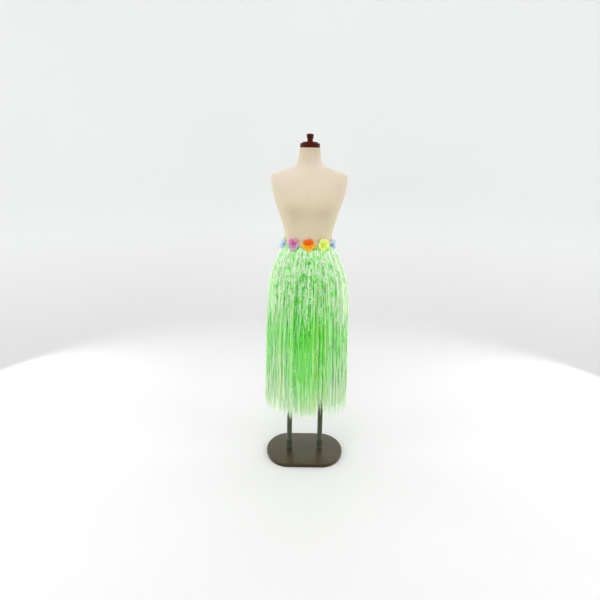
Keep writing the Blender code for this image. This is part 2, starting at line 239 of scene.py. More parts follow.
class StageSettings(bpy.types.PropertyGroup):
    pale: colour_setting("Backdrop", "Backdrop", (0.755, 0.764, 0.760))
    floor: colour_setting("Floor", "Floor, lit more than the backdrop", (0.658, 0.654, 0.658))
    reach: length_setting("Reach", "Radius of the round backdrop", 3.4)


def linked(item):
    bpy.context.scene.collection.objects.link(item)
    return item


def object_from(name, shape, surface):
    """Turns a bmesh into an object of the scene."""
    mesh = bpy.data.meshes.new(name)
    shape.to_mesh(mesh)
    shape.free()
    mesh.materials.append(surface)
    mesh.shade_smooth()
    return linked(bpy.data.objects.new(name, mesh))


def piece_from(name, shape, surface, replaced=(), smooth_angle=math.radians(40)):
    """Turns a bmesh into a finished piece that rides on the frame's body."""
    piece = object_from(name, shape, surface)
    piece.data.set_sharp_from_angle(angle=smooth_angle)
    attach(piece, BODY)
    if replaced:
        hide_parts(*replaced)
    return piece


def foot_and_size(corners):
    """The middle of a solid's foot, and its width, depth and height."""
    low, high = corners
    foot = Vector(((low[0] + high[0]) / 2, (low[1] + high[1]) / 2, low[2]))
    return foot, [top - bottom for bottom, top in zip(low, high)]


def facing(across, up, away, place):
    """Turns a shape's X, Y and Z to three directions, and moves it to a place."""
    turn = Matrix((across, up, away)).transposed().to_4x4()
    turn.translation = place
    return turn


def section_at(table, height):
    """The section of a table at a height, measured straight between its rows."""
    height = min(max(height, table[0].height), table[-1].height)
    for low, high in zip(table, table[1:]):
        if height <= high.height:
            share = (height - low.height) / (high.height - low.height)
            return Section(*(a + (b - a) * share for a, b in zip(low, high)))


def ring_point(section, angle, out=0.0):
    """A point of a section's outline, moved out square to it. Angle 0 is the front, and 90 degrees is +X."""
    power = 2 / section.squareness
    side, front = math.sin(angle), math.cos(angle)
    x = section.half_width * math.copysign(abs(side) ** power, side)
    y = -section.half_depth * math.copysign(abs(front) ** power, front)
    point = Vector((x, section.centre_y + y, section.height))
    return point + out * outward(section, x, y) if out else point


def outward(section, x, y):
    steep = section.squareness - 1
    across = math.copysign((abs(x) / section.half_width) ** steep, x) / section.half_width
    along = math.copysign((abs(y) / section.half_depth) ** steep, y) / section.half_depth
    return Vector((across, along, 0.0)).normalized()


def outward_at(section, angle):
    return ring_point(section, angle, 1.0) - ring_point(section, angle)


def girth(section, out=0.0, steps=360):
    points = [ring_point(section, math.tau * i / steps, out) for i in range(steps + 1)]
    return sum((b - a).length for a, b in zip(points, points[1:]))


def even_angles(section, count, start=0.0, steps=1440):
    """Angles that divide a section's outline into equal lengths, from the start angle round."""
    points = [ring_point(section, start + math.tau * i / steps) for i in range(steps + 1)]
    lengths = [0.0]
    for before, after in zip(points, points[1:]):
        lengths.append(lengths[-1] + (after - before).length)
    angles, step = [], 0
    for k in range(count):
        wanted = lengths[-1] * k / count
        while lengths[step + 1] < wanted:
            step += 1
        share = (wanted - lengths[step]) / (lengths[step + 1] - lengths[step])
        angles.append(start + math.tau * (step + share) / steps)
    return angles


def smooth_share(value, low, high):
    """0 below low, 1 above high, and a soft step between."""
    share = min(max((value - low) / (high - low), 0.0), 1.0)
    return share * share * (3 - 2 * share)


def arc(centre_radius, centre_height, radius, first, last, steps=5):
    """Points of a (radius, height) profile round a corner, between two angles in degrees."""
    angles = [math.radians(first + (last - first) * i / steps) for i in range(steps + 1)]
    return [(centre_radius + radius * math.cos(a), centre_height + radius * math.sin(a)) for a in angles]


def turned(profile, centre, steps=72):
    """Spins a (radius, height) profile, which starts and ends on the axis, about a vertical line."""
    shape = bmesh.new()
    verts = [shape.verts.new(centre + Vector((radius, 0, height))) for radius, height in profile]
    edges = [shape.edges.new(pair) for pair in zip(verts, verts[1:])]
    bmesh.ops.spin(
        shape, geom=verts + edges, cent=centre, axis=(0, 0, 1), angle=math.tau, steps=steps, use_merge=True
    )
    bmesh.ops.remove_doubles(shape, verts=shape.verts, dist=1e-6)
    bmesh.ops.recalc_face_normals(shape, faces=shape.faces)
    return shape


def drawn_wall(count, levels, place):
    """Draws a ring of edges through levels into a wall. place(level, number) gives each vertex its point."""
    shape = bmesh.new()
    number = shape.verts.layers.int.new("number")
    first = bmesh.ops.create_circle(shape, segments=count, radius=1.0)["verts"]
    for i, vert in enumerate(first):
        vert[number] = i
        vert.co = place(levels[0], i)
    start = edges = list(shape.edges)
    for level in levels[1:]:
        made = bmesh.ops.extrude_edge_only(shape, edges=edges)["geom"]
        verts = {item for item in made if isinstance(item, bmesh.types.BMVert)}
        for vert in verts:
            vert.co = place(level, vert[number])
        edges = [e for e in made if isinstance(e, bmesh.types.BMEdge) and verts.issuperset(e.verts)]
    bmesh.ops.bridge_loops(shape, edges=start + edges)
    bmesh.ops.recalc_face_normals(shape, faces=shape.faces)
    return shape


class Value:
    """What a node puts out. Arithmetic on it adds math nodes to its tree."""

    def __init__(self, made, output=0):
        self.socket = made.outputs[output]
        self.tree = self.socket.id_data

    def math(self, operation, other=0.0, swapped=False):
        pair = {0: other, 1: self} if swapped else {0: self, 1: other}
        return Value(put(self.tree, "ShaderNodeMath", pair, operation=operation))

    def __add__(self, other):
        return self.math("ADD", other)

    def __sub__(self, other):
        return self.math("SUBTRACT", other)

    def __rsub__(self, other):
        return self.math("SUBTRACT", other, swapped=True)

    def __mul__(self, other):
        return self.math("MULTIPLY", other)

    def __rtruediv__(self, other):
        return self.math("DIVIDE", other, swapped=True)

    def __abs__(self):
        return self.math("ABSOLUTE")


def set_inputs(made, inputs):
    """Links a node's inputs to values, and sets those that are fixed."""
    for name, value in inputs.items():
        if isinstance(value, Value):
            value.tree.links.new(value.socket, made.inputs[name])
        else:
            made.inputs[name].default_value = value


def put(tree, kind, inputs=None, **settings):
    """Adds a node, sets its options, and links or sets its inputs."""
    made = tree.nodes.new(kind)
    for name, value in settings.items():
        setattr(made, name, value)
    set_inputs(made, inputs or {})
    return made


def new_material(name):
    made = bpy.data.materials.new(name)
    made.use_nodes = True
    return made, made.node_tree, made.node_tree.nodes["Principled BSDF"]


def ramp(value, stops):
    """A colour ramp through (position, colour) stops."""
    made = put(value.tree, "ShaderNodeValToRGB", {"Fac": value})
    elements = made.color_ramp.elements
    while len(elements) < len(stops):
        elements.new(1.0)
    for element, (position, colour) in zip(elements, stops):
        element.position = position
        element.color = (*colour, 1.0)
    return Value(made, "Color")


def mixed(share, first, second):
    """A colour between two others, each a node's or a fixed one."""
    first, second = (colour if isinstance(colour, Value) else (*colour, 1.0) for colour in (first, second))
    made = put(share.tree, "ShaderNodeMix", {0: share, 6: first, 7: second}, data_type="RGBA")
    return Value(made, 2)


def scaled(colour, share):
    return tuple(share * part for part in colour)


def between(value, low, high, least=0.0, most=1.0):
    """Carries a value over from one range to another, and holds it at both ends."""
    limits = {"Value": value, "From Min": low, "From Max": high, "To Min": least, "To Max": most}
    return Value(put(value.tree, "ShaderNodeMapRange", limits))


def object_place(tree):
    return Value(put(tree, "ShaderNodeTexCoord"), "Object")


def attribute(tree, name):
    return Value(put(tree, "ShaderNodeAttribute", attribute_name=name), "Fac")


def parts(place):
    """The X, Y and Z of a place."""
    made = put(place.tree, "ShaderNodeSeparateXYZ", {0: place})
    return [Value(made, i) for i in range(3)]


def stretched(place, scale):
    return Value(put(place.tree, "ShaderNodeMapping", {"Vector": place, "Scale": scale}))


def bump(shader, height, distance, strength):
    inputs = {"Height": height, "Distance": distance, "Strength": strength}
    set_inputs(shader, {"Normal": Value(put(shader.id_data, "ShaderNodeBump", inputs))})


def lit_through(tree, shader, colour, share):
    """Adds the light that comes through a thin surface from behind."""
    through = put(tree, "ShaderNodeBsdfTranslucent", {"Color": colour})
    both = put(tree, "ShaderNodeMixShader", {"Fac": share, 1: Value(shader), 2: Value(through)})
    set_inputs(tree.nodes["Material Output"], {"Surface": Value(both)})


def node_group(tree, name, inputs, outputs, fill):
    """Places a shader node group, built once. Its sockets are numbers, and Place is a vector."""
    group = bpy.data.node_groups.get(name)
    if group is None:
        group = bpy.data.node_groups.new(name, "ShaderNodeTree")
        for socket in inputs:
            kind = "NodeSocketVector" if socket == "Place" else "NodeSocketFloat"
            group.interface.new_socket(socket, in_out="INPUT", socket_type=kind)
        for socket in outputs:
            group.interface.new_socket(socket, in_out="OUTPUT", socket_type="NodeSocketFloat")
        source = group.nodes.new("NodeGroupInput")
        values = fill(*(Value(source, socket) for socket in inputs))
        set_inputs(group.nodes.new("NodeGroupOutput"), dict(zip(outputs, values)))
    return put(tree, "ShaderNodeGroup", inputs, node_tree=group)


def around_and_up(tree, radius):
    """Distances round the form and up it, for cloth that wraps it."""

    def fill(place, distance):
        x, y, z = parts(place)
        return x.math("ARCTAN2", y * -1.0) * distance, z

    inputs = {"Place": object_place(tree), "Radius": radius}
    made = node_group(tree, "around_and_up", inputs, ("Around", "Up"), fill)
    return Value(made, "Around"), Value(made, "Up")


def woven_threads(around, up, pitch):
    """The height of a plain weave whose threads pass over and under each other."""

    def fill(across, along, apart):
        rate = math.pi / apart
        warp, weft = (across * rate).math("SINE"), (along * rate).math("SINE")
        over = (warp * weft).math("GREATER_THAN")
        return (abs(warp) * over + abs(weft) * (1.0 - over),)

    inputs = {"Around": around, "Up": up, "Pitch": pitch}
    return Value(node_group(around.tree, "woven_threads", inputs, ("Height",), fill))


def cloudiness(place, scale, detail=3.0):
    """Soft patches from 0 to 1, with an even spread of values. A scale for each axis draws them out."""

    def fill(inner_place, inner_scale, inner_detail):
        inputs = {"Vector": inner_place, "Scale": inner_scale, "Detail": inner_detail}
        noise = put(inner_place.tree, "ShaderNodeTexNoise", inputs)
        return (between(Value(noise, "Fac"), 0.3, 0.7),)

    if isinstance(scale, tuple):
        place, scale = stretched(place, scale), 1.0
    inputs = {"Place": place, "Scale": scale, "Detail": detail}
    return Value(node_group(place.tree, "cloudiness", inputs, ("Value",), fill))


def linen_material(settings):
    surface, tree, shader = new_material("linen_cover")
    around, up = around_and_up(tree, 0.13)
    weave = woven_threads(around, up, settings.thread)
    place = object_place(tree)
    x, y, _ = parts(place)
    aside = abs(x)
    seam = between(aside, 0.0004, 0.0024)
    tone = cloudiness(place, (90, 90, 900), 2.0) * 0.35 + cloudiness(place, 7.0) * 0.3 + weave * 0.2
    tone = tone - (1.0 - seam) * 0.22
    # Darker at the top of the neck, painted shade below the cap, and lighter towards the waist
    tone = tone - between(up, 1.43, 1.48, 0.0, 0.45) + between(up, 1.22, 1.10, 0.0, 0.35)
    # Painted shade below the bust: darker round a point on each side of the chest's front
    front = Value(put(tree, "ShaderNodeCombineXYZ", {0: aside, 1: y, 2: up}))
    away = put(tree, "ShaderNodeVectorMath", {0: front, 1: BUST_SHADE}, operation="DISTANCE")
    tone = tone - between(Value(away, "Value"), 0.055, 0.015, 0.0, 0.22)
    linen = mixed(between(up, 1.24, 1.35), settings.linen, settings.bleached)
    colour = mixed(tone, settings.shade, linen)
    bump(shader, weave * 0.15 + seam * 0.6, 0.0007, 0.6)
    set_inputs(shader, {"Base Color": colour, "Roughness": 0.88})
    set_inputs(shader, {"Specular IOR Level": 0.25, "Sheen Weight": 0.15})
    return surface


def wood_material(settings):
    surface, tree, shader = new_material("dark_wood")
    place = object_place(tree)
    grain = cloudiness(place, (60, 60, 420), 6.0)
    waves = {"Vector": stretched(place, (1, 0.35, 1)), "Scale": 90.0, "Distortion": 6.0, "Detail": 3.0}
    rings = Value(put(tree, "ShaderNodeTexWave", waves), "Fac")
    colour = ramp((grain + rings) * 0.5, [(0.15, settings.grain), (0.75, settings.wood)])
    bump(shader, grain, 0.0001, 0.4)
    roughness = between(grain, 0.0, 1.0, 0.32, 0.42)
    set_inputs(shader, {"Base Color": colour, "Roughness": roughness, "Specular IOR Level": 0.06})
    return surface


def paint_material(name, paint, worn):
    surface, tree, shader = new_material(name)
    place = object_place(tree)
    patches = cloudiness(place, 9.0, 5.0)
    colour = mixed(patches * 0.7, paint, worn)
    bump(shader, cloudiness(place, 900.0, 2.0), 0.00006, 0.35)
    set_inputs(shader, {"Base Color": colour, "Roughness": between(patches, 0.0, 1.0, 0.28, 0.38)})
    set_inputs(shader, {"Specular IOR Level": 0.24, "Metallic": 0.25})
    return surface


def tape_material(name, colour, pitch):
    surface, tree, shader = new_material(name)
    around, up = around_and_up(tree, 0.097)
    weave = woven_threads(around, up, pitch)
    tone = weave * 0.3 + cloudiness(object_place(tree), (400, 400, 120)) * 0.3
    bump(shader, weave, 0.0003, 0.6)
    woven = mixed(tone, scaled(colour, 0.62), colour)
    set_inputs(shader, {"Base Color": woven, "Roughness": 0.8, "Sheen Weight": 0.2})
    return surface


def grass_material(settings):
    """Thin glossy film that light comes back from and through, with painted glints where it is kinked, and
    painted light and shade in its tones.
    """
    surface, tree, shader = new_material("green_grass")
    place = object_place(tree)
    x, _, height = parts(place)
    streaks = cloudiness(place, (260, 260, 40), 2.0)
    patches = cloudiness(place, (64, 64, 30), 2.0)
    painted_squiggles = cloudiness(place, (150, 150, 80))
    # Over the hips' sides the strands are thinly spread and painted paler: painted light, for light that
    # comes through them and glances off them
    tone = between(abs(x), 0.07, 0.16, 0.0, 0.42) * between(height, 0.62, 0.86) + attribute(tree, "tone")
    # The patches, strongest over the hips, and the squiggles there are painted highlights and painted shade
    # between the strands
    hips = between(height, 0.70, 0.90)
    uneven = ((streaks, 0.25), (patches, between(hips, 0.0, 1.0, 0.16, 1.2)), (painted_squiggles, hips * 0.9))
    for pattern, strength in uneven:
        tone = tone + (pattern - 0.5) * strength
    # Painted light: paler at the top, where the flared hips face the lights, and below the middle and at the
    # hem, where light comes through from behind
    for low, high, most in ((0.88, 1.03, 0.19), (0.66, 0.50, 0.22), (0.46, 0.28, 0.38)):
        tone = tone + between(height, low, high, 0.0, most)
    greens = (settings.shade, settings.deep, settings.fresh, settings.pale)
    colour = ramp(tone, list(zip((0.0, 0.25, 0.5, 1.0), greens)))
    warmth = attribute(tree, "warmth")
    for low, full, most, other in ((0.60, 1.0, 0.8, settings.yellow), (0.40, 0.0, 0.5, settings.mint)):
        colour = mixed(between(warmth, low, full, 0.0, most), colour, other)
    # Painted glints: near-white flecks where the film is kinked and would catch the light, more of them
    # higher up and in the pale patches
    painted_glints = cloudiness(place, (120, 120, 62), 4.0) + patches * 0.35 + between(height, 0.66, 0.98, 0.0, 0.22)
    colour = mixed(between(painted_glints, 1.00, 1.12, 0.0, 0.85), colour, settings.glint)
    bump(shader, cloudiness(place, (380, 380, 110), 1.0), 0.0006, 0.45)
    set_inputs(shader, {"Base Color": colour, "Roughness": 0.30, "Specular IOR Level": 0.28})
    set_inputs(shader, {"Coat Weight": 0.4, "Coat Roughness": 0.12})
    lit_through(tree, shader, colour, 0.35)
    return surface


def petal_material(name, heart, petal, rim):
    """Satin petals: dark at the heart, lighter outwards, and another tone on the petals that look up."""
    surface, tree, shader = new_material(name)
    radial = attribute(tree, "radial")
    body = mixed(between(attribute(tree, "upper"), 0.35, 0.75), petal, rim)
    across = Value(put(tree, "ShaderNodeCombineXYZ", {0: attribute(tree, "across"), 1: radial * 0.2}))
    waves = {"Vector": across, "Scale": 4.0, "Distortion": 3.0, "Detail": 2.0}
    veins = Value(put(tree, "ShaderNodeTexWave", waves), "Fac")
    colour = mixed(between(radial, 0.10, 0.45), heart, body)
    colour = mixed(veins * 0.12, colour, scaled(petal, 0.6))
    edge = tuple(0.3 + 0.7 * part for part in rim)
    colour = mixed(between(radial, 0.86, 1.0, 0.0, 0.15), colour, edge)
    bump(shader, veins, 0.0003, 0.5)
    set_inputs(shader, {"Base Color": colour, "Roughness": 0.55})
    set_inputs(shader, {"Specular IOR Level": 0.3, "Sheen Weight": 0.08})
    lit_through(tree, shader, colour, 0.25)
    return surface


class Wander:
    """A slow drift along a strand: two waves of height with random starts."""

    def __init__(self, chance, size, longest, shortest):
        self.waves = []
        for share, wavelength in ((0.7, longest), (0.3, shortest)):
            rate = math.tau / (wavelength * chance.uniform(0.7, 1.4))
            self.waves.append((size * share, rate, chance.uniform(0, math.tau)))

    def at(self, height):
        return sum(reach * math.sin(rate * height + start) for reach, rate, start in self.waves)


def grass_point(angle, height, depth):
    """A point in the hanging grass: depth 0 is its outside, and 1 is just clear of the form."""
    outside = section_at(SKIRT, height)
    inside = section_at(FORM, height)._replace(height=height)
    point = ring_point(outside, angle).lerp(ring_point(inside, angle, FORM_CLEARANCE), depth)
    point.x += SIDE_DRIFT * smooth_share(ROOT_LOWEST - height, 0.0, 0.2)
    return point


class Lock:
    """A lock of strands that lean, part and end much alike."""

    def __init__(self, chance, angle, half_width):
        self.angle = angle
        self.half_width = half_width
        self.lean = chance.gauss(0, 0.014)
        self.wander = Wander(chance, 0.009, 0.45, 0.20)
        self.gather = chance.uniform(-0.05, 0.04)
        # The locks at the sides are paler than those at the front: painted light for the light that comes
        # through and glances off the sides, and painted shade at the front where the form stands behind
        self.tone = chance.gauss(0.37 + 0.36 * smooth_share(abs(math.sin(angle)), 0.15, 0.65), 0.05)
        self.warmth = chance.uniform(0.30, 0.76)
        self.depth = chance.uniform(-0.06, 0.14)


class Tuft:
    """A few strands that cling together down the skirt."""

    def __init__(self, chance, lock, settings):
        self.lock = lock
        self.offset = chance.uniform(-1.25, 1.25) * lock.half_width
        self.depth = lock.depth + chance.triangular(0.0, 0.95, 0.12)
        self.lean = chance.gauss(0, 0.012)
        self.wander = Wander(chance, 0.009, 0.24, 0.09)
        self.sway = Wander(chance, 0.12, 0.24, 0.10)
        # Deeper tufts are darker: painted shade from the strands that lie over them
        self.tone = lock.tone + chance.gauss(0, 0.03) + 0.02 - 0.16 * max(self.depth, 0.0)
        self.warmth = lock.warmth + chance.gauss(0, 0.12)
        front = smooth_share(math.cos(lock.angle + LONGEST_ASIDE), 0.78, 0.98)
        self.hem = settings.hem + settings.front_rise * front
        self.ragged = settings.ragged * (1 - 0.54 * front)
        self.rise = chance.random()


class Strand:
    """One flattened strand, from its root on the tape down to its tip."""

    def __init__(self, chance, tuft, settings):
        self.tuft = tuft
        self.chance = chance
        self.offset = chance.gauss(0, 0.014)
        self.depth = min(max(tuft.depth + chance.gauss(0, 0.05), -0.03), 0.97)
        self.lean = chance.gauss(0, 0.006)
        self.wander = Wander(chance, 0.007, 0.14, 0.06)
        self.turn = chance.gauss(0, 0.20)
        self.twist = Wander(chance, 0.7, 0.22, 0.07)
        self.width = settings.width * chance.uniform(0.7, 1.3)
        self.thickness = settings.thickness
        self.root = chance.uniform(ROOT_LOWEST, ROOT_HIGHEST)
        self.tip = tuft.hem + tuft.ragged * (0.2 * tuft.rise + 0.8 * chance.random()) ** 0.75
        off_parting = abs(tuft.lock.angle + tuft.offset + self.offset - PARTING_ANGLE)
        parted = 1 - smooth_share(off_parting, 0.03, 0.06)
        self.tip += PARTING_RISE * parted * chance.uniform(0.3, 1.0)
        self.tone = tuft.tone + chance.gauss(0, 0.045)
        self.warmth = tuft.warmth + chance.gauss(0, 0.05)

    def angle_at(self, height):
        tuft, lock = self.tuft, self.tuft.lock
        drop = ROOT_LOWEST - height
        hang = smooth_share(drop, 0.02, 0.45)
        loose = smooth_share(drop, 0.0, 0.05) * (1 + 2.0 * smooth_share(height, 0.80, 0.98))
        offset = (tuft.offset + self.offset) * (1 - lock.gather * hang)
        lean = (lock.lean + tuft.lean + self.lean + lock.wander.at(height)) * hang
        return lock.angle + offset + lean + (tuft.wander.at(height) + self.wander.at(height)) * loose

    def rings(self):
        """The strand's triangles, each with its flat face outwards before it twists."""
        made = []
        for k in range(STRAND_STATIONS + 1):
            height = self.root + (self.tip - self.root) * (k / STRAND_STATIONS) ** 1.35
            hang = smooth_share(ROOT_LOWEST - height, 0.0, 0.09)
            depth = min(max(self.depth + self.tuft.sway.at(height) * hang, -0.06), 0.98)
            angle = self.angle_at(height)
            centre = grass_point(angle, height, depth)
            away = outward_at(section_at(SKIRT, height), angle)
            along = Vector((-away.y, away.x, 0.0))
            kink = hang * (0.0006 + 0.0024 * smooth_share(height, 0.76, 0.98))
            centre += along * self.chance.gauss(0, kink) + away * self.chance.gauss(0, 0.4 * kink)
            tapered = 1 - 0.6 * smooth_share(k / STRAND_STATIONS, 0.93, 1.0)
            width = self.width * (0.45 + 0.55 * hang) * tapered
            spin = Matrix.Rotation((self.turn + self.twist.at(height)) * hang, 3, "Z")
            made.append([
                centre + spin @ (along * -width / 2),
                centre + spin @ (along * width / 2),
                centre + spin @ (away * -self.thickness),
            ])
        return made


class Curl:
    """A loose strand that hooks or loops outside the others over the hips."""

    TURN_STATIONS = 14
    TAIL_STATIONS = 9

    def __init__(self, chance, settings):
        self.angle = chance.uniform(0, math.tau)
        self.middle = 0.79 + 0.235 * math.sqrt(chance.random())
        self.turns = chance.choice((0.5, 1, 1, 1, 2))
        self.loop = chance.uniform(0.004, 0.013)
        self.side = chance.choice((-1, 1))
        self.drop = chance.uniform(0.3, 1.7)
        self.proud = chance.triangular(-0.003, 0.014, 0.002)
        self.tail = chance.uniform(0.05, 0.30)
        self.lean = chance.gauss(0, 0.42)
        self.face = chance.uniform(-1.0, 1.0)
        self.width = settings.width * chance.uniform(0.9, 1.5)
        self.thickness = settings.thickness
        self.tone = chance.uniform(0.45, 1.25)
        self.warmth = chance.uniform(0.25, 0.75)

    def path(self):
        """Its course as (across, height, stand) from the tape, down, round and down again."""
        points = []
        for k in range(self.TAIL_STATIONS):
            share = k / self.TAIL_STATIONS
            height = ROOT_LOWEST + (self.middle - ROOT_LOWEST) * share
            points.append((0.0, height, self.proud * smooth_share(share, 0, 1)))
        for k in range(round(self.TURN_STATIONS * self.turns) + 1):
            turn = math.tau * k / self.TURN_STATIONS
            height = self.middle - self.loop * math.sin(turn) - self.drop * self.loop * turn / math.tau
            stand = self.proud + 0.4 * self.loop * math.sin(turn / 2) ** 2
            points.append((self.side * self.loop * (1 - math.cos(turn)), height, stand))
        if self.turns >= 1:
            across, height, stand = points[-1]
            for k in range(1, self.TAIL_STATIONS + 1):
                share = k / self.TAIL_STATIONS
                points.append((across, height - self.tail * share, stand * (1 - share)))
        return points

    def rings(self):
        centres, aways = [], []
        for across, height, stand in self.path():
            section = section_at(SKIRT, height)
            angle = self.angle + self.lean * (ROOT_LOWEST - height) + across / section.half_width
            away = outward_at(section, angle)
            centres.append(grass_point(angle, height, 0.0) + away * stand)
            aways.append(away)
        made = []
        for k, (centre, away) in enumerate(zip(centres, aways)):
            before, after = centres[max(k - 1, 0)], centres[min(k + 1, len(centres) - 1)]
            along = (after - before).normalized()
            side = along.cross(away).normalized()
            flat = (side * math.cos(self.face) + away * math.sin(self.face)).normalized()
            back = along.cross(flat).normalized()
            width = self.width * (0.4 if k in (0, len(centres) - 1) else 1.0)
            half = flat * width / 2
            made.append([centre - half, centre + half, centre + back * self.thickness])
        return made


def grown_strands(strands):
    """Grows closed strands: each is a triangular root, extruded from one of its rings to the next."""
    shape = bmesh.new()
    number = shape.faces.layers.int.new("strand")
    tone = shape.verts.layers.float.new("tone")
    warmth = shape.verts.layers.float.new("warmth")
    ends, all_rings = [], [strand.rings() for strand in strands]
    for i, (strand, rings) in enumerate(zip(strands, all_rings)):
        verts = [shape.verts.new(point) for point in rings[0]]
        for vert in verts:
            vert[tone] = strand.tone
            vert[warmth] = strand.warmth
        ends.append(shape.faces.new(verts))
        ends[-1][number] = i
    made = bmesh.ops.extrude_face_region(shape, geom=ends)["geom"]
    ends = [item for item in made if isinstance(item, bmesh.types.BMFace)]
    step = 1
    while ends:
        for face in ends:
            for vert, point in zip(face.verts, all_rings[face[number]][step]):
                vert.co = point
        step += 1
        ends = [face for face in ends if step < len(all_rings[face[number]])]
        if ends:
            ends = bmesh.ops.extrude_discrete_faces(shape, faces=ends)["faces"]
    bmesh.ops.recalc_face_normals(shape, faces=shape.faces)
    return shape


class SKIRT_OT_grass(bpy.types.Operator):
    """Hangs the strands of grass from their tape"""

    bl_idname = "skirt.grass"
    bl_label = "Hang the Grass"

    def execute(self, context):
        settings = context.scene.skirt_grass
        surface = grass_material(settings)
        strip = section_at(FORM, TAPE_BOTTOM)
        lanes = even_angles(strip, SECTORS * settings.locks)
        lane = math.tau / len(lanes)
        for sector in range(SECTORS):
            chance = random.Random(100 + sector)
            first = sector * settings.locks
            angles = lanes[first : first + settings.locks]
            locks = [Lock(chance, angle + lane / 2, lane / 2) for angle in angles]
            tufts = [Tuft(chance, locks[i % len(locks)], settings) for i in range(settings.tufts)]
            strands = [Strand(chance, tuft, settings) for tuft in tufts for _ in range(settings.strands)]
            name = f"{sector + 1:02d}"
            piece_from(f"grass_{name}", grown_strands(strands), surface, (f"fringe_{name}",))
        chance = random.Random(31)
        curls = [Curl(chance, settings) for _ in range(settings.curls)]
        piece_from("grass_curls", grown_strands(curls), surface, smooth_angle=math.radians(60))
        return {"FINISHED"}


class SKIRT_OT_waistband(bpy.types.Operator):
    """Makes the gathered elastic band, the fringe's tape and the line of stitches"""

    bl_idname = "skirt.waistband"
    bl_label = "Make the Waistband"

    def execute(self, context):
        settings = context.scene.skirt_band
        count = settings.ribs * 4
        inner, outer = BAND_FIT, BAND_FIT + BAND_THICKNESS
        middle = (BAND_BOTTOM + BAND_TOP) / 2
        levels = [(BAND_BOTTOM, inner), (BAND_MIDDLE, inner), (BAND_TOP, inner)]
        levels += [(BAND_TOP + 0.0002, (inner + outer) / 2)]
        levels += [(height, outer) for height in (BAND_TOP, 1.0755, 1.0725, BAND_MIDDLE, 1.0600, BAND_BOTTOM)]
        angles = even_angles(section_at(FORM, BAND_MIDDLE), count)

        def place(level, i):
            height, out = level
            wave = 0.0005 * math.sin(5 * angles[i] + 1) + 0.0003 * math.sin(11 * angles[i])
            if out == outer:
                crown = 1 - ((height - middle) / (BAND_TOP - middle)) ** 2 * 0.6
                out += settings.rib * crown * (0.5 + 0.5 * math.cos(math.pi * i / 2))
            point = ring_point(section_at(FORM, height), angles[i], out)
            return point + Vector((0, 0, wave))

        shape = drawn_wall(count, levels, place)
        surface = tape_material("elastic_tape", settings.tape, 0.0009)
        band = piece_from("elastic_band", shape, surface, ("waistband",))
        tape = self.tape(context)
        stitches = self.stitches(settings)
        grass = [piece for piece in bpy.data.objects if piece.name.startswith("grass_")]
        flowers = [piece for piece in bpy.data.objects if piece.name.startswith("flower_cloth_")]
        girth(section_at(FORM, BAND_MIDDLE), outer)
        return {"FINISHED"}

    def tape(self, context):
        """The narrow tape that the grass is sewn to, outside the band's lower edge."""
        inner = BAND_FIT + BAND_THICKNESS + SEAM_GAP
        outer = inner + TAPE_THICKNESS
        levels = [(TAPE_BOTTOM, inner), (TAPE_TOP, inner), (TAPE_TOP, outer), (TAPE_BOTTOM, outer)]

        def place(level, i):
            height, out = level
            return ring_point(section_at(FORM, height), math.tau * i / 200, out)

        surface = tape_material("green_tape", tuple(context.scene.skirt_grass.fresh), 0.0006)
        return piece_from("fringe_tape", drawn_wall(200, levels, place), surface)

    def stitches(self, settings):
        """A row of short stitches through the band's lower edge."""
        shape = bmesh.new()
        height = BAND_BOTTOM + 0.0055
        section = section_at(FORM, height)
        out = BAND_FIT + BAND_THICKNESS + settings.rib
        for angle in even_angles(section, settings.stitches):
            away = outward_at(section, angle)
            along = Vector((-away.y, away.x, 0.0))
            up = Vector((0, 0, 1))
            place = facing(along, up, away, ring_point(section, angle, out))
            made = bmesh.ops.create_icosphere(shape, subdivisions=1, radius=1.0)["verts"]
            bmesh.ops.scale(shape, verts=made, vec=(0.0015, 0.00032, 0.00030))
            bmesh.ops.transform(shape, verts=made, matrix=place)
        surface = tape_material("sewing_thread", (0.80, 0.78, 0.66), 0.0003)
        return piece_from("band_stitches", shape, surface)


